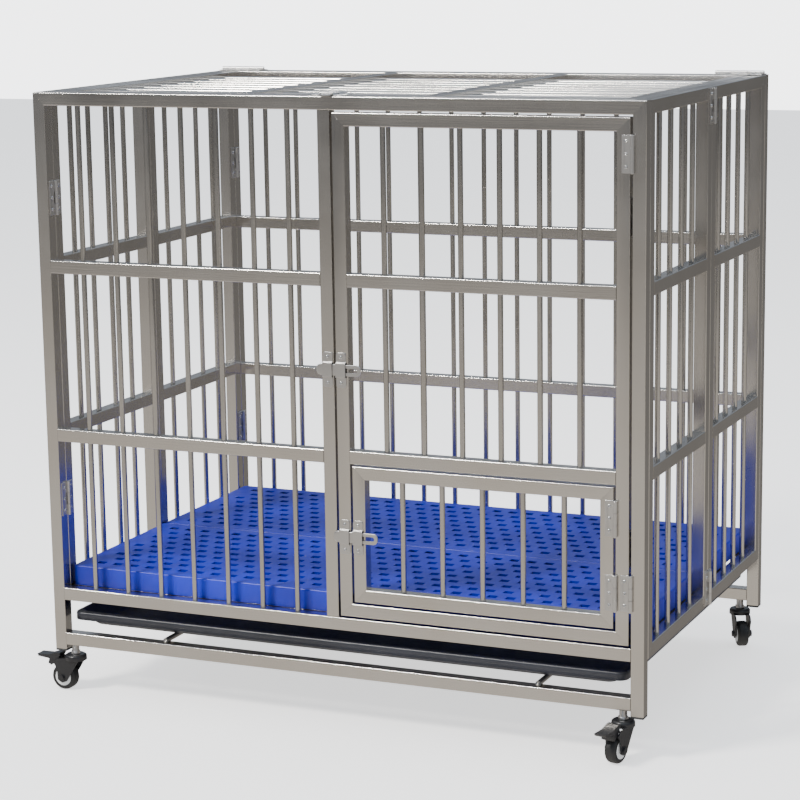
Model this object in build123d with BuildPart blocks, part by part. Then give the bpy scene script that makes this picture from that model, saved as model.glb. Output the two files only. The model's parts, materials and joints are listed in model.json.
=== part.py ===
from build123d import *
import os

# Folding stainless kennel cage on casters. Millimetres, +Z up, floor at z = 0, front towards -Y.

# ---- Overall size ----
WIDTH = 930
DEPTH = 614
LEG_FOOT = 65
TOP = 902

# ---- Stock ----
TUBE = 19
WALL = 1.2
TUBE_EDGE = 1.4
ROD_R = 4
WELD = 0.1
FIT = 3
FOLD_FIT = 0.6

# ---- Heights of the cross rails (underside) ----
LEG_RAIL = LEG_FOOT + 7
BOTTOM_RAIL = LEG_FOOT + 77
LOW_RAIL = LEG_FOOT + 321
HIGH_RAIL = LEG_FOOT + 573
TOP_RAIL = TOP - TUBE
SIDE_RAIL_RISE = 3

FRONT = -DEPTH / 2
BACK = DEPTH / 2
LEFT = -WIDTH / 2
RIGHT = WIDTH / 2

# ---- Doors ----
POST_HALF = TUBE / 2
DOOR_LEFT = POST_HALF + FIT
DOOR_RIGHT = RIGHT - TUBE - FIT
DOOR_BOTTOM = BOTTOM_RAIL + TUBE + FIT
DOOR_TOP = TOP_RAIL - FIT
HATCH_LEFT = DOOR_LEFT + TUBE + FIT
HATCH_RIGHT = DOOR_RIGHT - TUBE - FIT
HATCH_BOTTOM = DOOR_BOTTOM + TUBE + FIT
HATCH_TOP = LOW_RAIL - FIT + 1
DOOR_LOW_RAIL = HATCH_TOP + FIT

# ---- Lid ----
LID_HALF_X = RIGHT - TUBE - FIT
LID_HALF_Y = BACK - TUBE - FIT

# ---- Bar spacing ----
BAY_PITCH = 56
DOOR_PITCH = 57
HATCH_PITCH = 60
SIDE_PITCH = 52
LID_PITCH = 53

# ---- Hinges ----
LEAF_LONG = 50
LEAF_WIDE = 15
LEAF_THICK = 1.2
KNUCKLE_R = 3
PIN_R = 1.5
PIN_FIT = 0.05
PIN_PROUD = 0.8
KNUCKLE_OFF = KNUCKLE_R + 0.3
KNUCKLE_SPLIT = 0.35
GAP_LEAF_DEEP = 16
SCREW_X = LEAF_WIDE - 6
HEAD_R = 2.4
HEAD_HIGH = 1.3
SHANK_R = 1.6
MAIN_HINGE_X = DOOR_RIGHT + FIT + 0.5
HATCH_HINGE_X = HATCH_RIGHT + FIT + 0.5
MAIN_HINGE_Z = (LEG_FOOT + 148, LEG_FOOT + 742)
HATCH_HINGE_Z = (LEG_FOOT + 147, LEG_FOOT + 251)
CORNER_HINGE_Z = (LEG_FOOT + 206, LEG_FOOT + 658)
MIDDLE_HINGE_Z = (LEG_FOOT + 80, LEG_FOOT + 785)
DOOR_SIDE_SHIFT = 4.5
LID_LEAF_LONG = 76
LID_LEAF_RAISE = 0.4
LID_HINGE_X = (LEFT + 2, RIGHT - 2 - LID_LEAF_LONG)
LID_HINGE_Y = LID_HALF_Y + FIT / 2

# ---- Slide bolts ----
BOLT_LONG = 68
BOLT_TALL = 16
BOLT_THICK = 2.2
BOLT_OFF = 0.5
BOLT_SLOT_LONG = 22
BOLT_SLOT_TALL = 6.5
BOLT_MIDDLE = 17
STRAP_WIDE = 15
STRAP_TALL = 50
STRAP_THICK = 1.4
STRAP_SCREW = 18.5
STRAP_STEP = 11
STRAP_CLEAR = BOLT_OFF + BOLT_THICK + 0.5
GUIDE_X = 20.5
MAIN_BOLT_X = 0.5
MAIN_BOLT_Z = LEG_FOOT + 456
HATCH_BOLT_X = 22
HATCH_BOLT_Z = LEG_FOOT + 216
LID_BOLT_X = 5

# ---- Floor boards, tray and grate ----
BOARD_HIGH = 30
BOARD_Z = BOTTOM_RAIL + TUBE + 0.4
BOARD_HALF_X = RIGHT - TUBE - 3
BOARD_HALF_Y = BACK - TUBE - 3
TRAY_HALF_X = 437
TRAY_HALF_Y = 299
TRAY_RIM_TOP = LEG_FOOT + 58
TRAY_RIM_HIGH = 12
TRAY_HIGH = 23
TRAY_WALL = 2.5
RUNNER_X = (-277, 311)
RUNNER_Z = LEG_RAIL + TUBE + ROD_R + 0.2
BOARD_SEAM = 2
BOARD_EDGE = 14
BOARD_WALL = 3
BOARD_SKIN = 4
BOARD_SLOT_LONG = 14
BOARD_SLOT_WIDE = 12
GRATE_RAIL = 12
LUG_OUT = 10
LUG_HALF = 15
LUG_THICK = 2.5
PLUG_LIP = 3
PEDAL_HALF = 9
PEDAL_BOSS_R = 3.5

# ---- Casters ----
WHEEL_R = 20
WHEEL_WIDE = 17
TRAIL = 19
STEM_X = 436
STEM_Y = BACK - TUBE / 2
STEM_R = 5.5
FORK_TOP = 57
FORK_HALF = 12.5
FORK_WALL = 2.2
AXLE_R = 3
CASTER_TURNS = {"fl": 180, "fr": -102, "rl": 180, "rr": -64}


def bar(plane, start, end, inward, mitres=(False, False)):
    """Hollow square bar whose outer edge runs from start to end on a plane, its body on the inward side."""
    start = Vector(*start)
    end = Vector(*end)
    along = (end - start).normalized()
    inward = Vector(*inward)

    def outline(margin):
        points = []
        for depth in (margin, TUBE - margin):
            near = start + inward * depth + along * (WELD + (depth if mitres[0] else 0))
            far = end + inward * depth - along * (WELD + (depth if mitres[1] else 0))
            points.append((near, far))
        return [points[0][0], points[0][1], points[1][1], points[1][0]]

    with BuildSketch(plane) as outer:
        Polygon(*[(p.X, p.Y) for p in outline(0)], align=None)
    with BuildSketch(plane.offset(WALL)) as inner:
        Polygon(*[(p.X, p.Y) for p in outline(WALL)], align=None)
    extrude(outer.sketch, amount=TUBE)
    extrude(inner.sketch, amount=TUBE - 2 * WALL, mode=Mode.SUBTRACT)


def ease_bars(builder, axis_name, near):
    """Round the long outer edges of every bar in a flat frame lying between near and near + TUBE."""
    picked = []
    for edge in builder.edges():
        middle = getattr(edge.center(), axis_name)
        if edge.length > 2 * TUBE and min(abs(middle - near), abs(middle - near - TUBE)) < 0.01:
            picked.append(edge)
    fillet(picked, TUBE_EDGE)


def rods(plane, centres, length, radius=ROD_R):
    """Straight round rods starting on a plane."""
    with BuildSketch(plane) as section:
        with Locations(*centres):
            Circle(radius)
    extrude(section.sketch, amount=length)


def upright_rods(centres, low, high):
    rods(Plane.XY.offset(low + WELD), centres, high - low - 2 * WELD)


def spread(low, high, count, pitch):
    """Evenly pitched positions centred between low and high."""
    middle = (low + high) / 2
    return [middle + (i - (count - 1) / 2) * pitch for i in range(count)]


def block(x0, x1, y0, y1, z0, z1, mode=Mode.ADD):
    with Locations(((x0 + x1) / 2, (y0 + y1) / 2, (z0 + z1) / 2)):
        Box(x1 - x0, y1 - y0, z1 - z0, mode=mode)


def front_plane(near):
    """Plane whose extrusions run towards -Y and end at y = near after one tube width."""
    return Plane.XZ.offset(-(near + TUBE))


def save(builder, name):
    builder.part.label = name
    export_step(builder.part, f"parts/{name}.step")


os.makedirs("parts", exist_ok=True)

# ---------------------------------------------------------------- front and rear frames
front_xz = front_plane(FRONT)
with BuildPart() as front_frame:
    bar(front_xz, (LEFT, TOP), (RIGHT, TOP), (0, -1), (True, True))
    bar(front_xz, (LEFT, LEG_FOOT), (LEFT, TOP), (1, 0), (False, True))
    bar(front_xz, (RIGHT, LEG_FOOT), (RIGHT, TOP), (-1, 0), (False, True))
    bar(front_xz, (-POST_HALF, BOTTOM_RAIL + TUBE), (-POST_HALF, TOP_RAIL), (1, 0))
    for height in (LEG_RAIL, BOTTOM_RAIL):
        bar(front_xz, (LEFT + TUBE, height), (RIGHT - TUBE, height), (0, 1))
    for height in (LOW_RAIL, HIGH_RAIL):
        bar(front_xz, (LEFT + TUBE, height), (-POST_HALF, height), (0, 1))
    ease_bars(front_frame, "Y", FRONT)

FRONT_ROWS = ((BOTTOM_RAIL + TUBE, LOW_RAIL), (LOW_RAIL + TUBE, HIGH_RAIL), (HIGH_RAIL + TUBE, TOP_RAIL))
with BuildPart() as front_bars:
    for low, high in FRONT_ROWS:
        centres = [(x, FRONT + TUBE / 2) for x in spread(LEFT + TUBE, -POST_HALF, 7, BAY_PITCH)]
        upright_rods(centres, low, high)

rear_xz = front_plane(BACK - TUBE)
with BuildPart() as rear_frame:
    bar(rear_xz, (LEFT, TOP), (RIGHT, TOP), (0, -1), (True, True))
    bar(rear_xz, (LEFT, LEG_FOOT), (LEFT, TOP), (1, 0), (False, True))
    bar(rear_xz, (RIGHT, LEG_FOOT), (RIGHT, TOP), (-1, 0), (False, True))
    for height in (LEG_RAIL, BOTTOM_RAIL, LOW_RAIL, HIGH_RAIL):
        bar(rear_xz, (LEFT + TUBE, height), (RIGHT - TUBE, height), (0, 1))
    ease_bars(rear_frame, "Y", BACK - TUBE)

with BuildPart() as rear_bars:
    for low, high in FRONT_ROWS:
        centres = [(x, BACK - TUBE / 2) for x in spread(LEFT + TUBE, RIGHT - TUBE, 15, BAY_PITCH)]
        upright_rods(centres, low, high)

# ---------------------------------------------------------------- folding side panels
HALF_PANELS = {"front": (FRONT + TUBE + FOLD_FIT, -FOLD_FIT / 2), "rear": (FOLD_FIT / 2, BACK - TUBE - FOLD_FIT)}
SIDES = {"left": LEFT, "right": RIGHT - TUBE}
SIDE_LOW = LOW_RAIL + SIDE_RAIL_RISE
SIDE_HIGH = HIGH_RAIL + SIDE_RAIL_RISE
SIDE_ROWS = ((BOTTOM_RAIL + TUBE, SIDE_LOW), (SIDE_LOW + TUBE, SIDE_HIGH), (SIDE_HIGH + TUBE, TOP_RAIL))
for side, near in SIDES.items():
    side_plane = Plane.YZ.offset(near)
    for half, (y0, y1) in HALF_PANELS.items():
        with BuildPart() as half_panel:
            bar(side_plane, (y0, TOP), (y1, TOP), (0, -1), (True, True))
            bar(side_plane, (y0, BOTTOM_RAIL), (y1, BOTTOM_RAIL), (0, 1), (True, True))
            bar(side_plane, (y0, BOTTOM_RAIL), (y0, TOP), (1, 0), (True, True))
            bar(side_plane, (y1, BOTTOM_RAIL), (y1, TOP), (-1, 0), (True, True))
            for height in (SIDE_LOW, SIDE_HIGH):
                bar(side_plane, (y0 + TUBE, height), (y1 - TUBE, height), (0, 1))
            ease_bars(half_panel, "X", near)
        save(half_panel, f"{side}_{half}_panel")
    with BuildPart() as side_bars:
        for low, high in SIDE_ROWS:
            centres = []
            for y0, y1 in HALF_PANELS.values():
                centres += [(near + TUBE / 2, y) for y in spread(y0 + TUBE, y1 - TUBE, 4, SIDE_PITCH)]
            upright_rods(centres, low, high)
    save(side_bars, f"{side}_side_bars")

# ---------------------------------------------------------------- main door, hatch and lid frames
with BuildPart() as main_door_frame:
    bar(front_xz, (DOOR_LEFT, DOOR_TOP), (DOOR_RIGHT, DOOR_TOP), (0, -1), (True, True))
    bar(front_xz, (DOOR_LEFT, DOOR_BOTTOM), (DOOR_RIGHT, DOOR_BOTTOM), (0, 1), (True, True))
    bar(front_xz, (DOOR_LEFT, DOOR_BOTTOM), (DOOR_LEFT, DOOR_TOP), (1, 0), (True, True))
    bar(front_xz, (DOOR_RIGHT, DOOR_BOTTOM), (DOOR_RIGHT, DOOR_TOP), (-1, 0), (True, True))
    for height in (DOOR_LOW_RAIL, HIGH_RAIL):
        bar(front_xz, (DOOR_LEFT + TUBE, height), (DOOR_RIGHT - TUBE, height), (0, 1))
    ease_bars(main_door_frame, "Y", FRONT)

with BuildPart() as main_door_bars:
    for low, high in ((DOOR_LOW_RAIL + TUBE, HIGH_RAIL), (HIGH_RAIL + TUBE, DOOR_TOP - TUBE)):
        centres = [(x, FRONT + TUBE / 2) for x in spread(DOOR_LEFT + TUBE, DOOR_RIGHT - TUBE, 6, DOOR_PITCH)]
        upright_rods(centres, low, high)

with BuildPart() as hatch_frame:
    bar(front_xz, (HATCH_LEFT, HATCH_TOP), (HATCH_RIGHT, HATCH_TOP), (0, -1), (True, True))
    bar(front_xz, (HATCH_LEFT, HATCH_BOTTOM), (HATCH_RIGHT, HATCH_BOTTOM), (0, 1), (True, True))
    bar(front_xz, (HATCH_LEFT, HATCH_BOTTOM), (HATCH_LEFT, HATCH_TOP), (1, 0), (True, True))
    bar(front_xz, (HATCH_RIGHT, HATCH_BOTTOM), (HATCH_RIGHT, HATCH_TOP), (-1, 0), (True, True))
    ease_bars(hatch_frame, "Y", FRONT)

with BuildPart() as hatch_bars:
    centres = [(x, FRONT + TUBE / 2) for x in spread(HATCH_LEFT + TUBE, HATCH_RIGHT - TUBE, 5, HATCH_PITCH)]
    upright_rods(centres, HATCH_BOTTOM + TUBE, HATCH_TOP - TUBE)

lid_plane = Plane.XY.offset(TOP_RAIL)
LID_BAY = (2 * LID_HALF_X - 4 * TUBE) / 3
LID_CROSS = (-LID_BAY / 2 - TUBE, LID_BAY / 2)
with BuildPart() as lid_frame:
    for sign in (-1, 1):
        edge_y = sign * LID_HALF_Y
        edge_x = sign * LID_HALF_X
        bar(lid_plane, (-LID_HALF_X, edge_y), (LID_HALF_X, edge_y), (0, -sign), (True, True))
        bar(lid_plane, (edge_x, -LID_HALF_Y), (edge_x, LID_HALF_Y), (-sign, 0), (True, True))
    for x in LID_CROSS:
        bar(lid_plane, (x, -LID_HALF_Y + TUBE), (x, LID_HALF_Y - TUBE), (1, 0))
    ease_bars(lid_frame, "Z", TOP_RAIL)

with BuildPart() as lid_bars:
    rows = spread(-LID_HALF_Y + TUBE, LID_HALF_Y - TUBE, 9, LID_PITCH)
    for x in (-LID_HALF_X + TUBE, LID_CROSS[0] + TUBE, LID_CROSS[1] + TUBE):
        rods(Plane.YZ.offset(x + WELD), [(y, TOP_RAIL + TUBE / 2) for y in rows], LID_BAY - 2 * WELD)


# ---------------------------------------------------------------- hinges
# A hinge is drawn in its own frame: the knuckles run along local Z, the mounting face is local y = 0,
# and local +Y points away from the metal that it is screwed to.
def leaf_screw_heights(long):
    return (8, long / 2, long - 8)


def knuckles_of(long, middle):
    third = long / 3
    if middle:
        return ((third, 2 * third),)
    return ((0, third - KNUCKLE_SPLIT), (2 * third + KNUCKLE_SPLIT, long))


def roll_knuckles(spans):
    """Rolled knuckles of a leaf, bored for the pin."""
    for low, high in spans:
        for radius, mode in ((KNUCKLE_R, Mode.ADD), (PIN_R + PIN_FIT, Mode.SUBTRACT)):
            with BuildSketch(Plane.XY.offset(low)) as ring:
                with Locations((0, KNUCKLE_OFF)):
                    Circle(radius)
            extrude(ring.sketch, amount=high - low, mode=mode)


def flat_leaf(side, long, middle):
    """Leaf screwed flat on the mounting face; side is +1 or -1 along local X."""
    reach = side * (KNUCKLE_R + 0.5)
    with BuildPart() as leaf:
        block(*sorted((reach, side * LEAF_WIDE)), 0, LEAF_THICK, 0, long)
        for low, high in knuckles_of(long, middle):
            block(*sorted((0, reach + side * 0.1)), KNUCKLE_OFF - KNUCKLE_R, LEAF_THICK, low, high)
        roll_knuckles(knuckles_of(long, middle))
        with BuildSketch(Plane.XZ) as holes:
            with Locations(*[(side * SCREW_X, z) for z in leaf_screw_heights(long)]):
                Circle(SHANK_R + 0.05)
        extrude(holes.sketch, amount=-LEAF_THICK, mode=Mode.SUBTRACT)
    return leaf


def gap_leaf(long):
    """Leaf hidden in the gap beside a door, with only its middle knuckle showing."""
    low, high = knuckles_of(long, True)[0]
    with BuildPart() as leaf:
        block(0.5, 1.5, -GAP_LEAF_DEEP, -0.3, 0, long)
        block(0.5, 1.5, -0.4, KNUCKLE_OFF, low, high)
        roll_knuckles(((low, high),))
    return leaf


def hinge_pin(long):
    with BuildPart() as pin:
        with BuildSketch(Plane.XY.offset(-PIN_PROUD)):
            with Locations((0, KNUCKLE_OFF)):
                Circle(PIN_R)
        extrude(amount=long + 2 * PIN_PROUD)
    return pin


with BuildPart() as leaf_screw:
    with BuildSketch(Plane.XZ.offset(-LEAF_THICK)):
        Circle(HEAD_R)
    extrude(amount=-HEAD_HIGH)
    fillet(leaf_screw.faces().sort_by(Axis.Y)[-1].edges(), HEAD_HIGH * 0.7)
    with BuildSketch(Plane.XZ):
        Circle(SHANK_R)
    extrude(amount=-LEAF_THICK)
    with BuildSketch(Plane.XZ.offset(-LEAF_THICK - HEAD_HIGH)):
        Rectangle(HEAD_R * 1.2, 0.6)
        Rectangle(0.6, HEAD_R * 1.2)
    extrude(amount=0.6, mode=Mode.SUBTRACT)


def mounted(x, y, z, outward, up=(0, 0, 1)):
    """Location with local +Y along outward and local +Z along up."""
    return Plane(origin=(x, y, z), x_dir=Vector(*outward).cross(Vector(*up)), z_dir=up).location


def leaf_screws(location, side, long=LEAF_LONG):
    return [location * Pos(side * SCREW_X, 0, z) for z in leaf_screw_heights(long)]


def repeated(piece, locations, *more):
    """One node that holds the same piece at several places, and any further piece at its own places."""
    with BuildPart() as group:
        for shape, spots in ((piece, locations), *more):
            for location in spots:
                with Locations(location):
                    add(shape.part)
    return group


main_hinges = [mounted(MAIN_HINGE_X, FRONT, z, (0, -1, 0)) for z in MAIN_HINGE_Z]
hatch_hinges = [mounted(HATCH_HINGE_X, FRONT, z, (0, -1, 0)) for z in HATCH_HINGE_Z]
lid_hinges = [mounted(x, LID_HINGE_Y, TOP + LID_LEAF_RAISE, (0, 0, 1), (1, 0, 0)) for x in LID_HINGE_X]
fold_hinges = []
for z in CORNER_HINGE_Z:
    for sign in (-1, 1):
        front_y = FRONT + TUBE + (DOOR_SIDE_SHIFT if sign > 0 else FOLD_FIT / 2)
        for y in (front_y, BACK - TUBE - FOLD_FIT / 2):
            fold_hinges.append(mounted(sign * (RIGHT - TUBE), y, z, (-sign, 0, 0)))
for z in MIDDLE_HINGE_Z:
    for sign in (-1, 1):
        fold_hinges.append(mounted(sign * RIGHT, 0, z, (sign, 0, 0)))

save(repeated(flat_leaf(1, LEAF_LONG, False), fold_hinges), "fold_hinge_outer_leaves")
save(repeated(flat_leaf(-1, LEAF_LONG, True), fold_hinges), "fold_hinge_middle_leaves")
save(repeated(gap_leaf(LEAF_LONG), main_hinges), "main_hinge_post_leaves")
save(repeated(flat_leaf(1, LEAF_LONG, False), main_hinges), "main_hinge_door_leaves")
save(repeated(gap_leaf(LEAF_LONG), hatch_hinges), "hatch_hinge_stile_leaves")
save(repeated(flat_leaf(1, LEAF_LONG, False), hatch_hinges), "hatch_hinge_door_leaves")
save(repeated(hinge_pin(LEAF_LONG), hatch_hinges), "hatch_hinge_pins")
save(repeated(flat_leaf(1, LID_LEAF_LONG, False), lid_hinges), "lid_hinge_base_leaves")
save(repeated(flat_leaf(-1, LID_LEAF_LONG, True), lid_hinges), "lid_hinge_lid_leaves")
frame_pin = hinge_pin(LEAF_LONG)
lid_pin = hinge_pin(LID_LEAF_LONG)
save(repeated(frame_pin, fold_hinges + main_hinges, (lid_pin, lid_hinges)), "frame_hinge_pins")

# ---------------------------------------------------------------- slide bolts
# A bolt is drawn in its own frame: it slides along local X, the mounting face is local y = 0 and the
# bolt's middle is at local z = 0. Local x = 0 is the middle of the keeper.
with BuildPart() as strap:
    with BuildSketch(Plane.YZ.offset(-STRAP_WIDE / 2)):
        with BuildLine():
            Polyline(
                (0, -STRAP_TALL / 2),
                (0, -STRAP_STEP),
                (STRAP_CLEAR, -STRAP_STEP + STRAP_CLEAR / 2),
                (STRAP_CLEAR, STRAP_STEP - STRAP_CLEAR / 2),
                (0, STRAP_STEP),
                (0, STRAP_TALL / 2),
                (STRAP_THICK, STRAP_TALL / 2),
                (STRAP_THICK, STRAP_STEP + 0.6),
                (STRAP_CLEAR + STRAP_THICK, STRAP_STEP - STRAP_CLEAR / 2 + 0.6),
                (STRAP_CLEAR + STRAP_THICK, -STRAP_STEP + STRAP_CLEAR / 2 - 0.6),
                (STRAP_THICK, -STRAP_STEP - 0.6),
                (STRAP_THICK, -STRAP_TALL / 2),
                close=True,
            )
        make_face()
    extrude(amount=STRAP_WIDE)
    fillet(strap.edges().filter_by(Axis.Y).group_by(Axis.Z)[0], 4)
    fillet(strap.edges().filter_by(Axis.Y).group_by(Axis.Z)[-1], 4)
    with BuildSketch(Plane.XZ) as strap_holes:
        with Locations((0, -STRAP_SCREW), (0, STRAP_SCREW)):
            Circle(SHANK_R + 0.05)
    extrude(strap_holes.sketch, amount=-STRAP_THICK, mode=Mode.SUBTRACT)

with BuildPart() as slide_bolt:
    with BuildSketch(Plane.XZ.offset(-BOLT_OFF)):
        with Locations((BOLT_MIDDLE, 0)):
            RectangleRounded(BOLT_LONG, BOLT_TALL, BOLT_TALL * 0.42)
        with Locations((BOLT_MIDDLE + BOLT_LONG / 2 - BOLT_SLOT_LONG / 2 - 5, 0)):
            SlotOverall(BOLT_SLOT_LONG, BOLT_SLOT_TALL, mode=Mode.SUBTRACT)
    extrude(amount=-BOLT_THICK)
    chamfer(slide_bolt.faces().sort_by(Axis.Y)[-1].outer_wire().edges(), 0.4)


def strap_screws(location, x):
    return [location * Pos(x, STRAP_THICK - LEAF_THICK, z) for z in (-STRAP_SCREW, STRAP_SCREW)]


# Local +X runs from the keeper towards the guide; the world direction of the bolt's withdrawal.
main_bolt = Plane(origin=(MAIN_BOLT_X, FRONT, MAIN_BOLT_Z), x_dir=(1, 0, 0), z_dir=(0, 0, -1)).location
hatch_bolt = Plane(origin=(HATCH_BOLT_X, FRONT, HATCH_BOLT_Z), x_dir=(1, 0, 0), z_dir=(0, 0, -1)).location
lid_bolt = Plane(origin=(LID_BOLT_X, FRONT + TUBE / 2, TOP), x_dir=(0, 1, 0), z_dir=(1, 0, 0)).location

save(repeated(strap, [main_bolt, lid_bolt]), "frame_keepers")
save(repeated(strap, [main_bolt * Pos(GUIDE_X, 0, 0), hatch_bolt]), "main_door_straps")
save(repeated(strap, [hatch_bolt * Pos(GUIDE_X, 0, 0)]), "hatch_bolt_guide")
save(repeated(strap, [lid_bolt * Pos(GUIDE_X, 0, 0)]), "lid_bolt_guide")
save(repeated(slide_bolt, [main_bolt]), "main_bolt")
save(repeated(slide_bolt, [hatch_bolt]), "hatch_bolt")
save(repeated(slide_bolt, [lid_bolt]), "lid_bolt")

frame_screws = strap_screws(main_bolt, 0) + strap_screws(lid_bolt, 0)
for location in fold_hinges:
    frame_screws += leaf_screws(location, 1) + leaf_screws(location, -1)
for location in lid_hinges:
    frame_screws += leaf_screws(location, 1, LID_LEAF_LONG)
door_screws = strap_screws(main_bolt, GUIDE_X) + strap_screws(hatch_bolt, 0)
for location in main_hinges:
    door_screws += leaf_screws(location, 1)
hatch_screws = strap_screws(hatch_bolt, GUIDE_X)
for location in hatch_hinges:
    hatch_screws += leaf_screws(location, 1)
lid_screws = strap_screws(lid_bolt, GUIDE_X)
for location in lid_hinges:
    lid_screws += leaf_screws(location, -1, LID_LEAF_LONG)
save(repeated(leaf_screw, frame_screws), "frame_screws")
save(repeated(leaf_screw, door_screws), "main_door_screws")
save(repeated(leaf_screw, hatch_screws), "hatch_screws")
save(repeated(leaf_screw, lid_screws), "lid_screws")

# ---------------------------------------------------------------- floor grate and rest lugs
GRATE_HALF_X = BOARD_HALF_X
GRATE_HALF_Y = BOARD_HALF_Y
GRATE_TOP = BOTTOM_RAIL + TUBE
GRATE_LOW = GRATE_TOP - GRATE_RAIL
with BuildPart() as floor_grate:
    for sign in (-1, 1):
        inner = GRATE_HALF_Y - GRATE_RAIL
        block(-GRATE_HALF_X, GRATE_HALF_X, *sorted((sign * inner, sign * GRATE_HALF_Y)), GRATE_LOW, GRATE_TOP)
    across = [(x, GRATE_TOP - ROD_R) for x in spread(-GRATE_HALF_X, GRATE_HALF_X, 16, BAY_PITCH)]
    rods(Plane.XZ.offset(-(inner - WELD)), across, 2 * (inner - WELD))

with BuildPart() as rest_lugs:
    for sx in (-1, 1):
        for sy in (-1, 1):
            x0, x1 = sorted((sx * (RIGHT - TUBE - LUG_OUT), sx * (RIGHT - TUBE)))
            block(x0, x1, sy * 190 - LUG_HALF, sy * 190 + LUG_HALF, TOP_RAIL - 0.4 - LUG_THICK, TOP_RAIL - 0.4)
            y0, y1 = sorted((sy * (BACK - TUBE - LUG_OUT), sy * (BACK - TUBE)))
            block(sx * 300 - LUG_HALF, sx * 300 + LUG_HALF, y0, y1, GRATE_LOW - LUG_THICK, GRATE_LOW)

with BuildPart() as tray_runners:
    rods(Plane.XZ.offset(-(BACK - 4)), [(x, RUNNER_Z) for x in RUNNER_X], DEPTH - 8)

with BuildPart() as leg_plugs:
    with BuildSketch(Plane.XY.offset(LEG_FOOT - PLUG_LIP)):
        with GridLocations(WIDTH - TUBE, DEPTH - TUBE, 2, 2):
            RectangleRounded(TUBE, TUBE, TUBE_EDGE)
    extrude(amount=PLUG_LIP - WELD)
    fillet(leg_plugs.faces().filter_by(Axis.Z).group_by(Axis.Z)[0].edges(), 0.8)

# ---------------------------------------------------------------- floor boards
SLOT_ROWS = 9
SLOT_COLUMNS = 31
for name, y0, y1 in (("front", -BOARD_HALF_Y, -BOARD_SEAM / 2), ("rear", BOARD_SEAM / 2, BOARD_HALF_Y)):
    slot_pitch_x = (2 * BOARD_HALF_X - 2 * BOARD_EDGE) / SLOT_COLUMNS
    slot_pitch_y = (y1 - y0 - 2 * BOARD_EDGE) / SLOT_ROWS
    with BuildPart() as floor_board:
        block(-BOARD_HALF_X, BOARD_HALF_X, y0, y1, BOARD_Z, BOARD_Z + BOARD_HIGH)
        fillet(floor_board.edges().filter_by(Axis.Z), 8)
        fillet(floor_board.faces().sort_by(Axis.Z)[-1].edges(), 2.5)
        with Locations((0, (y0 + y1) / 2, BOARD_Z + (BOARD_HIGH - BOARD_SKIN) / 2)):
            Box(2 * (BOARD_HALF_X - BOARD_WALL), y1 - y0 - 2 * BOARD_WALL, BOARD_HIGH - BOARD_SKIN, mode=Mode.SUBTRACT)
        with BuildSketch(Plane.XY.offset(BOARD_Z)) as slots:
            for row in range(SLOT_ROWS):
                shift = slot_pitch_x / 4 * (1 if row % 2 else -1)
                row_y = y0 + BOARD_EDGE + (row + 0.5) * slot_pitch_y
                with Locations((shift, row_y)):
                    with GridLocations(slot_pitch_x, slot_pitch_y, SLOT_COLUMNS - 1, 1):
                        Rectangle(BOARD_SLOT_LONG, BOARD_SLOT_WIDE)
        extrude(slots.sketch, amount=BOARD_HIGH + 1, mode=Mode.SUBTRACT)
    save(floor_board, f"floor_board_{name}")

# ---------------------------------------------------------------- tray
TRAY_LOW = TRAY_RIM_TOP - TRAY_HIGH
RIM_LOW = TRAY_RIM_TOP - TRAY_RIM_HIGH
with BuildPart() as tray:
    with BuildSketch(Plane.XY.offset(RIM_LOW)):
        RectangleRounded(2 * TRAY_HALF_X, 2 * TRAY_HALF_Y, 14)
    extrude(amount=TRAY_RIM_HIGH)
    fillet(tray.faces().sort_by(Axis.Z)[-1].edges(), 3)
    with BuildSketch(Plane.XY.offset(RIM_LOW)):
        RectangleRounded(2 * (TRAY_HALF_X - 12), 2 * (TRAY_HALF_Y - 12), 12)
    with BuildSketch(Plane.XY.offset(TRAY_LOW)):
        RectangleRounded(2 * (TRAY_HALF_X - 24), 2 * (TRAY_HALF_Y - 24), 12)
    loft()
    with BuildSketch(Plane.XY.offset(TRAY_RIM_TOP)):
        RectangleRounded(2 * (TRAY_HALF_X - 10), 2 * (TRAY_HALF_Y - 10), 10)
    with BuildSketch(Plane.XY.offset(TRAY_LOW + TRAY_WALL)):
        RectangleRounded(2 * (TRAY_HALF_X - 26), 2 * (TRAY_HALF_Y - 26), 10)
    loft(mode=Mode.SUBTRACT)

# ---------------------------------------------------------------- casters
# A caster is drawn with its stem on the Z axis and its wheel trailing along local -X.
caster_spots = {
    "fl": (-STEM_X, -STEM_Y),
    "fr": (STEM_X - 3, -STEM_Y),
    "rl": (-STEM_X, STEM_Y),
    "rr": (STEM_X - 3, STEM_Y),
}
STEM_GAP = 0.4
with BuildPart() as caster_stem:
    with BuildSketch(Plane.XY.offset(FORK_TOP + STEM_GAP)):
        RegularPolygon(STEM_R * 1.35, 6)
    extrude(amount=4)
    with BuildSketch(Plane.XY.offset(FORK_TOP + STEM_GAP)):
        Circle(STEM_R)
    extrude(amount=LEG_RAIL - FORK_TOP - STEM_GAP - WELD)

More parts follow.
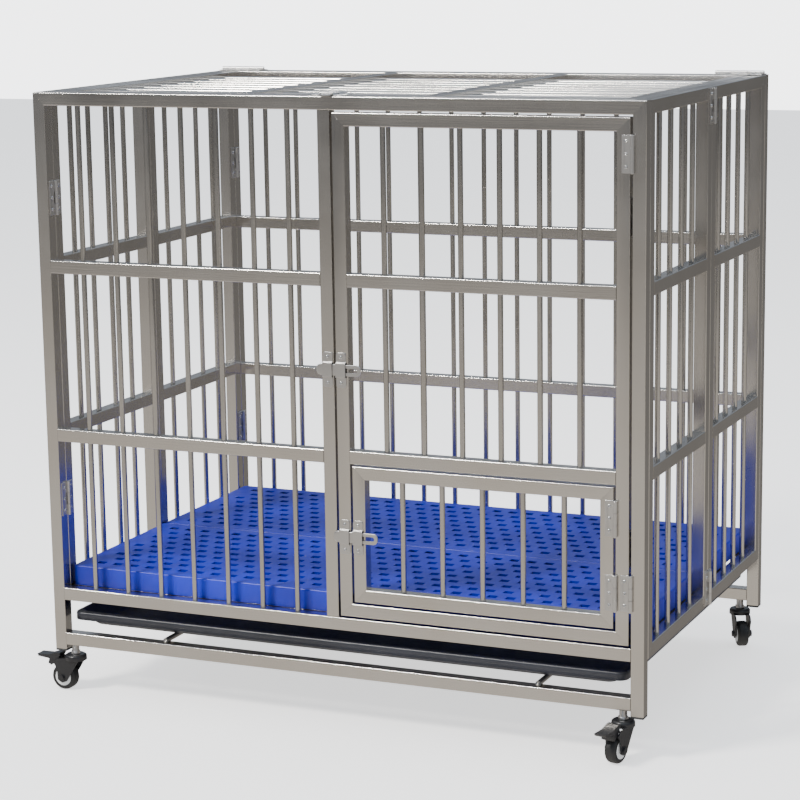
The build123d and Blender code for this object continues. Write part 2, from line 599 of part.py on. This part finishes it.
with BuildPart() as fork:
    with BuildSketch(Plane.XY.offset(FORK_TOP - 9)):
        Circle(FORK_HALF + 4)
    extrude(amount=9)
    fillet(fork.faces().sort_by(Axis.Z)[-1].edges(), 4)
    for sign in (-1, 1):
        with BuildSketch(Plane.XZ.offset(-sign * (FORK_HALF - FORK_WALL / 2) - FORK_WALL / 2)) as cheek:
            with BuildLine():
                Polyline(
                    (-FORK_HALF - 1, FORK_TOP - 6),
                    (FORK_HALF - 1, FORK_TOP - 6),
                    (-TRAIL + 8, WHEEL_R - 5),
                    (-TRAIL, WHEEL_R - 8),
                    (-TRAIL - 7, WHEEL_R - 4),
                    (-TRAIL - 8, WHEEL_R + 12),
                    (-TRAIL - 14, FORK_TOP - 14),
                    (-TRAIL - 8, FORK_TOP - 8),
                    close=True,
                )
            make_face()
        extrude(cheek.sketch, amount=FORK_WALL)
        with BuildSketch(Plane.XZ.offset(-sign * (FORK_HALF + 1.6) - 1.6)) as nut:
            with Locations((-TRAIL, WHEEL_R)):
                RegularPolygon(AXLE_R * 1.7, 6)
        extrude(nut.sketch, amount=3.2)
    with BuildSketch(Plane.XZ.offset(-FORK_HALF - 1)) as axle:
        with Locations((-TRAIL, WHEEL_R)):
            Circle(AXLE_R)
    extrude(axle.sketch, amount=2 * (FORK_HALF + 1))

with BuildPart() as wheel_hub:
    with BuildSketch(Plane.XZ.offset(-WHEEL_WIDE / 2)):
        with Locations((-TRAIL, WHEEL_R)):
            Circle(WHEEL_R * 0.66)
            Circle(AXLE_R + 0.08, mode=Mode.SUBTRACT)
    extrude(amount=WHEEL_WIDE)

with BuildPart() as tyre:
    with BuildSketch(Plane.XZ.offset(-WHEEL_WIDE / 2)):
        with Locations((-TRAIL, WHEEL_R)):
            Circle(WHEEL_R)
            Circle(WHEEL_R * 0.66 + 0.05, mode=Mode.SUBTRACT)
    extrude(amount=WHEEL_WIDE)
    rims = tyre.edges().filter_by(GeomType.CIRCLE).filter_by(lambda edge: edge.radius > WHEEL_R - 1)
    fillet(rims, 4.5)

with BuildPart() as pedal:
    with BuildSketch(Plane.XZ.offset(-PEDAL_HALF)):
        with BuildLine():
            Polyline(
                (-TRAIL - 12, FORK_TOP - 13.5),
                (-TRAIL - 20, FORK_TOP - 20),
                (-TRAIL - 25, FORK_TOP - 17),
                (-TRAIL - 23, FORK_TOP - 10),
                (-TRAIL - 42, FORK_TOP - 8),
                (-TRAIL - 44, FORK_TOP - 4.5),
                (-TRAIL - 24, FORK_TOP - 4),
                (-TRAIL - 10, FORK_TOP + 0.5),
                (-TRAIL - 4, FORK_TOP + 0.5),
                (-TRAIL - 4, FORK_TOP - 3),
                close=True,
            )
        make_face()
        with Locations((-TRAIL - 9, FORK_TOP - 8)):
            Circle(PEDAL_BOSS_R)
    extrude(amount=2 * PEDAL_HALF)

for corner, (x, y) in caster_spots.items():
    spot = Pos(x, y, 0) * Rot(0, 0, CASTER_TURNS[corner] + 180)
    save(repeated(fork, [spot]), f"caster_{corner}_fork")
    save(repeated(wheel_hub, [spot]), f"caster_{corner}_hub")
    save(repeated(tyre, [spot]), f"caster_{corner}_tyre")
    if corner in ("fl", "fr"):
        save(repeated(pedal, [spot]), f"caster_{corner}_pedal")
save(repeated(caster_stem, [Pos(x, y, 0) for x, y in caster_spots.values()]), "caster_stems")

save(front_frame, "front_frame")
save(front_bars, "front_bars")
save(rear_frame, "rear_frame")
save(rear_bars, "rear_bars")
save(main_door_frame, "main_door_frame")
save(main_door_bars, "main_door_bars")
save(hatch_frame, "hatch_frame")
save(hatch_bars, "hatch_bars")
save(lid_frame, "lid_frame")
save(lid_bars, "lid_bars")
save(floor_grate, "floor_grate")
save(rest_lugs, "rest_lugs")
save(tray_runners, "tray_runners")
save(leg_plugs, "leg_plugs")
save(tray, "tray")
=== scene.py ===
import bpy
import bmesh
import json
import math
import random
from mathutils import Matrix, Vector


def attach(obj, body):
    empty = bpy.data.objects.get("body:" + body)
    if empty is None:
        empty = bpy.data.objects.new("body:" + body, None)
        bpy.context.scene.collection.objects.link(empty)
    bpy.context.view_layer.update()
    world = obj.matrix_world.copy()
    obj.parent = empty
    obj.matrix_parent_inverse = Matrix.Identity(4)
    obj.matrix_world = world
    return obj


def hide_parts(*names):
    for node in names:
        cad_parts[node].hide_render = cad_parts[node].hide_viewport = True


# Lengths are in metres, angles in degrees.
WELD_DISTANCE = 1e-6
SHARP_ANGLE = 32
BEVEL_ANGLE = 50
BEVEL_SEGMENTS = 2
GRAIN_ALONG = 1.5      # grain coordinate per metre along a bar
GRAIN_ACROSS = 60.0    # and across it
GRAIN_SHIFT = 40       # largest random offset between two bars' grain
STEEL_ANISOTROPY = 0.4
STEEL_LINE_SHARE = 0.6
STEEL_BUMP_DEPTH = 0.0006
PLASTIC_BUMP_DEPTH = 0.0008
PLASTIC_COAT_ROUGHNESS = 0.25
STAGE_ROUGHNESS = 0.6

# Rounded edge by a word in the node's name.
BEVELS = {
    "strap": 0.0003,
    "leaves": 0.0002,
    "bolt": 0.0003,
    "keeper": 0.0003,
    "fork": 0.0005,
    "grate": 0.0008,
}

# Surroundings by height: 0 is straight down, 0.5 the horizon, 1 straight up.
FRONT_SKY = [
    (0.25, (0.86, 0.80, 0.72)),
    (0.41, (0.78, 0.73, 0.66)),
    (0.445, (0.20, 0.20, 0.205)),
    (0.53, (0.10, 0.11, 0.125)),
    (0.62, (0.24, 0.29, 0.36)),
    (0.90, (0.60, 0.68, 0.80)),
]
REAR_SKY = [
    (0.30, (0.30, 0.28, 0.26)),
    (0.47, (0.17, 0.165, 0.16)),
    (0.50, (0.12, 0.12, 0.12)),
    (0.60, (0.30, 0.33, 0.38)),
    (0.90, (0.60, 0.68, 0.80)),
]
REAR_STARTS, REAR_FULL = 0.15, 0.75    # y of the direction
SKY_STRENGTH = 1.0

FLOOR_GLOW = 1.25
BACKDROP_GLOW = 3.2

CAMERA_AZIMUTH = 23.56
CAMERA_ELEVATION = 10.88
CAMERA_ROLL = -0.829
CAMERA_PLACE = (1.4071, -3.2819, 1.1079)
CAMERA_SENSOR = 36
CAMERA_LENS = 107.14
CAMERA_REACH = 100

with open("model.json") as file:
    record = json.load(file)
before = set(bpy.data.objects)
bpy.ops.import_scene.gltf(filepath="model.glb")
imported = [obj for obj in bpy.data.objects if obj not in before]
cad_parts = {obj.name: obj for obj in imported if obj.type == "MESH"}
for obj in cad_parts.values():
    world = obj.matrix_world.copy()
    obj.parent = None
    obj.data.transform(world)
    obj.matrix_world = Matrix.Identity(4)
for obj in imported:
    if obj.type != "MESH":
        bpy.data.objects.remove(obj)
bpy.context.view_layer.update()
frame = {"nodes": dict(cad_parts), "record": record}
NODES = frame["nodes"]
BODIES = frame["record"]["behaviour"]["bodies"]
BODY_OF = {node: body for body, nodes in BODIES.items() for node in nodes}


# ------------------------------------------------------------ materials
def material(name):
    mat = bpy.data.materials.new(name)
    mat.use_nodes = True
    tree = mat.node_tree
    return mat, tree, tree.nodes["Principled BSDF"]


def put(tree, kind, **values):
    node = tree.nodes.new(kind)
    for key, value in values.items():
        if key.startswith("in_"):
            node.inputs[key[3:].replace("_", " ")].default_value = value
        else:
            setattr(node, key, value)
    return node


def ramp(tree, source, stops):
    node = tree.nodes.new("ShaderNodeValToRGB")
    tree.links.new(source, node.inputs["Fac"])
    elements = node.color_ramp.elements
    while len(elements) < len(stops):
        elements.new(0.5)
    for element, (position, colour) in zip(elements, stops):
        element.position = position
        element.color = (*colour, 1.0)
    return node.outputs["Color"]


def noise(tree, vector, scale, detail=4.0, rough=0.55):
    node = put(tree, "ShaderNodeTexNoise", in_Scale=scale, in_Detail=detail, in_Roughness=rough)
    tree.links.new(vector, node.inputs["Vector"])
    return node.outputs["Fac"]


def bump(tree, shader, height, strength, distance):
    node = put(tree, "ShaderNodeBump", in_Strength=strength, in_Distance=distance)
    tree.links.new(height, node.inputs["Height"])
    tree.links.new(node.outputs["Normal"], shader.inputs["Normal"])


def spread_range(tree, value, low, high):
    node = put(tree, "ShaderNodeMapRange")
    node.inputs["To Min"].default_value = low
    node.inputs["To Max"].default_value = high
    tree.links.new(value, node.inputs["Value"])
    return node.outputs["Result"]


def scale_add(tree, value, factor, offset):
    """value * factor + offset, where offset is another node's output."""
    node = put(tree, "ShaderNodeMath", operation="MULTIPLY_ADD")
    tree.links.new(value, node.inputs[0])
    node.inputs[1].default_value = factor
    tree.links.new(offset, node.inputs[2])
    return node.outputs[0]


def steel(name, tones, rough, grain, wear=0.5):
    """Polished stainless, its grain lines running along each bar by the grain_co attribute."""
    mat, tree, shader = material(name)
    grain_co = put(tree, "ShaderNodeAttribute", attribute_name="grain_co").outputs["Vector"]
    place = put(tree, "ShaderNodeTexCoord").outputs["Object"]
    lines = noise(tree, grain_co, 9.0, 6.0, 0.7)
    patches = noise(tree, place, 7.0, 3.0)
    smudge = noise(tree, place, 26.0, 5.0, 0.6)
    shader.inputs["Metallic"].default_value = 1.0
    shader.inputs["Anisotropic"].default_value = STEEL_ANISOTROPY
    tree.links.new(ramp(tree, patches, [(0.3, tones[0]), (0.7, tones[1])]), shader.inputs["Base Color"])
    mixed = scale_add(tree, lines, STEEL_LINE_SHARE, patches)
    tree.links.new(spread_range(tree, mixed, *rough), shader.inputs["Roughness"])
    bump(tree, shader, scale_add(tree, smudge, wear, lines), grain, STEEL_BUMP_DEPTH)
    return mat


def plastic(name, dark, light, rough, scale, depth, coat=0.0, tile=4.0):
    mat, tree, shader = material(name)
    place = put(tree, "ShaderNodeTexCoord").outputs["Object"]
    blotch = noise(tree, place, tile, 4.0)
    fine = noise(tree, place, scale, 5.0)
    shader.inputs["Coat Weight"].default_value = coat
    shader.inputs["Coat Roughness"].default_value = PLASTIC_COAT_ROUGHNESS
    tree.links.new(ramp(tree, blotch, [(0.35, dark), (0.65, light)]), shader.inputs["Base Color"])
    tree.links.new(spread_range(tree, fine, *rough), shader.inputs["Roughness"])
    bump(tree, shader, fine, depth, PLASTIC_BUMP_DEPTH)
    return mat


TUBE = steel("polished_tube", ((0.60, 0.57, 0.53), (0.68, 0.66, 0.63)), (0.08, 0.26), 0.08)
ROD = steel("polished_rod", ((0.50, 0.48, 0.45), (0.62, 0.60, 0.57)), (0.10, 0.26), 0.08)
SHEET = steel("pressed_steel", ((0.62, 0.61, 0.60), (0.75, 0.74, 0.73)), (0.20, 0.42), 0.22, wear=1.2)
NICKEL = steel("bright_nickel", ((0.70, 0.70, 0.69), (0.80, 0.80, 0.79)), (0.10, 0.25), 0.10, wear=1.0)
BLUE = plastic("blue_board", (0.001, 0.006, 0.30), (0.003, 0.016, 0.52), (0.30, 0.50), 60.0, 0.25, tile=6.0)
TRAY = plastic("black_tray", (0.010, 0.011, 0.016), (0.022, 0.024, 0.034),
               (0.30, 0.52), 130.0, 0.35, coat=0.1)
BLACK = plastic("black_plastic", (0.008, 0.008, 0.008), (0.02, 0.02, 0.02), (0.35, 0.6), 160.0, 0.4)
FORK = plastic("black_fork", (0.006, 0.006, 0.007), (0.016, 0.016, 0.018), (0.25, 0.5), 220.0, 0.3, coat=0.2)
TYRE = plastic("black_tyre", (0.006, 0.006, 0.006), (0.016, 0.016, 0.016), (0.4, 0.7), 240.0, 0.5)
CORE = plastic("white_core", (0.50, 0.50, 0.49), (0.66, 0.66, 0.64), (0.3, 0.5), 120.0, 0.2)


def finish_of(node):
    if "tyre" in node:
        return TYRE, "tyre"
    if "hub" in node:
        return CORE, "wheel_core"
    if "fork" in node or "pedal" in node:
        return FORK, "caster_black"
    if node == "tray":
        return TRAY, "tray_black"
    if "floor_board" in node:
        return BLUE, "board_blue"
    if node == "leg_plugs":
        return BLACK, "plug_black"
    if "bars" in node or node in ("tray_runners", "floor_grate"):
        return ROD, "rod_stainless"
    if "screws" in node or "pins" in node:
        return NICKEL, "hardware_nickel"
    if any(word in node for word in ("leaves", "strap", "bolt", "keeper", "guide", "stems", "lugs")):
        return SHEET, "hardware_zinc"
    return TUBE, "tube_stainless"


# ------------------------------------------------------------ pieces
def loose_parts(bm):
    left = set(bm.verts)
    while left:
        seed = left.pop()
        part = [seed]
        todo = [seed]
        while todo:
            vert = todo.pop()
            for edge in vert.link_edges:
                other = edge.other_vert(vert)
                if other in left:
                    left.discard(other)
                    part.append(other)
                    todo.append(other)
        yield part


def add_grain(bm):
    """Grain coordinates that run slowly along each loose bar and fast across it."""
    layer = bm.verts.layers.float_vector.new("grain_co")
    rng = random.Random(len(bm.verts))
    for part in loose_parts(bm):
        low = Vector([min(v.co[i] for v in part) for i in range(3)])
        high = Vector([max(v.co[i] for v in part) for i in range(3)])
        size = high - low
        axis = max(range(3), key=lambda i: size[i])
        rates = [GRAIN_ALONG if i == axis else GRAIN_ACROSS for i in range(3)]
        shift = Vector([rng.uniform(0, GRAIN_SHIFT) for _ in range(3)])
        for vert in part:
            vert[layer] = Vector([vert.co[i] * rates[i] for i in range(3)]) + shift


def dress(node, mat, slot_name, bevel):
    """Visible piece for a CAD node: its welded shape, its material and an optional rounded edge."""
    source = NODES[node]
    bm = bmesh.new()
    bm.from_mesh(source.data)
    bmesh.ops.transform(bm, matrix=source.matrix_world, verts=bm.verts)
    bmesh.ops.remove_doubles(bm, verts=bm.verts, dist=WELD_DISTANCE)
    add_grain(bm)
    mesh = bpy.data.meshes.new(f"{node}_look")
    bm.to_mesh(mesh)
    bm.free()
    piece = bpy.data.objects.new(f"{node}_look", mesh)
    bpy.context.scene.collection.objects.link(piece)
    mesh.materials.append(mat)
    mesh.shade_smooth()
    mesh.set_sharp_from_angle(angle=math.radians(SHARP_ANGLE))
    if bevel:
        edge = piece.modifiers.new("edge", "BEVEL")
        edge.width = bevel
        edge.segments = BEVEL_SEGMENTS
        edge.limit_method = "ANGLE"
        edge.angle_limit = math.radians(BEVEL_ANGLE)
        edge.harden_normals = True
    flat = piece.modifiers.new("flat", "WEIGHTED_NORMAL")
    flat.keep_sharp = True
    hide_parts(node)
    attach(piece, BODY_OF[node])


for node in sorted(NODES):
    mat, slot_name = finish_of(node)
    width = max([size for word, size in BEVELS.items() if word in node] or [0.0])
    dress(node, mat, slot_name, width)


# ------------------------------------------------------------ stage, light and camera
def plane(name, size_x, size_y, location, rotation, colour, glow):
    """Glowing stage surface that the metal doesn't mirror."""
    mesh = bpy.data.meshes.new(name)
    x, y = size_x / 2, size_y / 2
    mesh.from_pydata([(-x, -y, 0), (x, -y, 0), (x, y, 0), (-x, y, 0)], [], [(0, 1, 2, 3)])
    obj = bpy.data.objects.new(name, mesh)
    bpy.context.scene.collection.objects.link(obj)
    obj.location = location
    obj.rotation_euler = rotation
    mat, _, shader = material(name)
    shader.inputs["Base Color"].default_value = (*colour, 1)
    shader.inputs["Roughness"].default_value = STAGE_ROUGHNESS
    shader.inputs["Emission Color"].default_value = (1, 1, 1, 1)
    shader.inputs["Emission Strength"].default_value = glow
    mesh.materials.append(mat)
    obj.visible_glossy = False
    return obj


plane("floor", 30, 22, (0, 4.7, 0), (0, 0, 0), (0.88, 0.87, 0.86), FLOOR_GLOW)
upright = (math.radians(90), 0, 0)
backdrop = plane("backdrop", 40, 16, (0, 12, 6), upright, (0.9, 0.9, 0.9), BACKDROP_GLOW)
backdrop.visible_diffuse = False


def area(name, location, target, size, power, colour):
    data = bpy.data.lights.new(name, "AREA")
    data.shape = "RECTANGLE"
    data.size, data.size_y = size
    data.energy = power
    data.color = colour
    light = bpy.data.objects.new(name, data)
    bpy.context.scene.collection.objects.link(light)
    light.location = location
    light.rotation_euler = (Vector(target) - Vector(location)).to_track_quat("-Z", "Y").to_euler()


area("key", (-2.4, -3.4, 4.6), (0, 0, 0.3), (1.1, 1.1), 420, (1.0, 0.97, 0.92))
area("top", (0.5, 1.2, 4.6), (0, 0, 0.4), (4.0, 3.0), 90, (0.92, 0.96, 1.0))

world = bpy.data.worlds.new("surround")
bpy.context.scene.world = world
world.use_nodes = True
sky = world.node_tree
direction = put(sky, "ShaderNodeTexCoord").outputs["Generated"]
axes = put(sky, "ShaderNodeSeparateXYZ")
sky.links.new(direction, axes.inputs[0])
half_up = put(sky, "ShaderNodeMath", operation="MULTIPLY_ADD")
sky.links.new(axes.outputs["Z"], half_up.inputs[0])
half_up.inputs[1].default_value = 0.5
half_up.inputs[2].default_value = 0.5
side = put(sky, "ShaderNodeMapRange")
side.inputs["From Min"].default_value = REAR_STARTS
side.inputs["From Max"].default_value = REAR_FULL
sky.links.new(axes.outputs["Y"], side.inputs["Value"])
blend = put(sky, "ShaderNodeMix", data_type="RGBA")
sky.links.new(side.outputs["Result"], blend.inputs["Factor"])
sky.links.new(ramp(sky, half_up.outputs[0], FRONT_SKY), blend.inputs[6])
sky.links.new(ramp(sky, half_up.outputs[0], REAR_SKY), blend.inputs[7])
background = sky.nodes["Background"]
sky.links.new(blend.outputs[2], background.inputs["Color"])
background.inputs["Strength"].default_value = SKY_STRENGTH

azimuth, elevation, roll = map(math.radians, (CAMERA_AZIMUTH, CAMERA_ELEVATION, CAMERA_ROLL))
back = Vector((
    math.sin(azimuth) * math.cos(elevation),
    -math.cos(azimuth) * math.cos(elevation),
    math.sin(elevation),
))
right = (-back).cross(Vector((0, 0, 1))).normalized()
up = right.cross(-back)
rolled_right = right * math.cos(roll) + up * math.sin(roll)
rolled_up = up * math.cos(roll) - right * math.sin(roll)
camera_data = bpy.data.cameras.new("camera")
camera_data.sensor_width = CAMERA_SENSOR
camera_data.lens = CAMERA_LENS
camera_data.clip_end = CAMERA_REACH
camera_data.dof.use_dof = False
camera = bpy.data.objects.new("camera", camera_data)
bpy.context.scene.collection.objects.link(camera)
turn = Matrix((rolled_right, rolled_up, back)).transposed().to_4x4()
camera.matrix_world = Matrix.Translation(CAMERA_PLACE) @ turn
bpy.context.scene.camera = camera
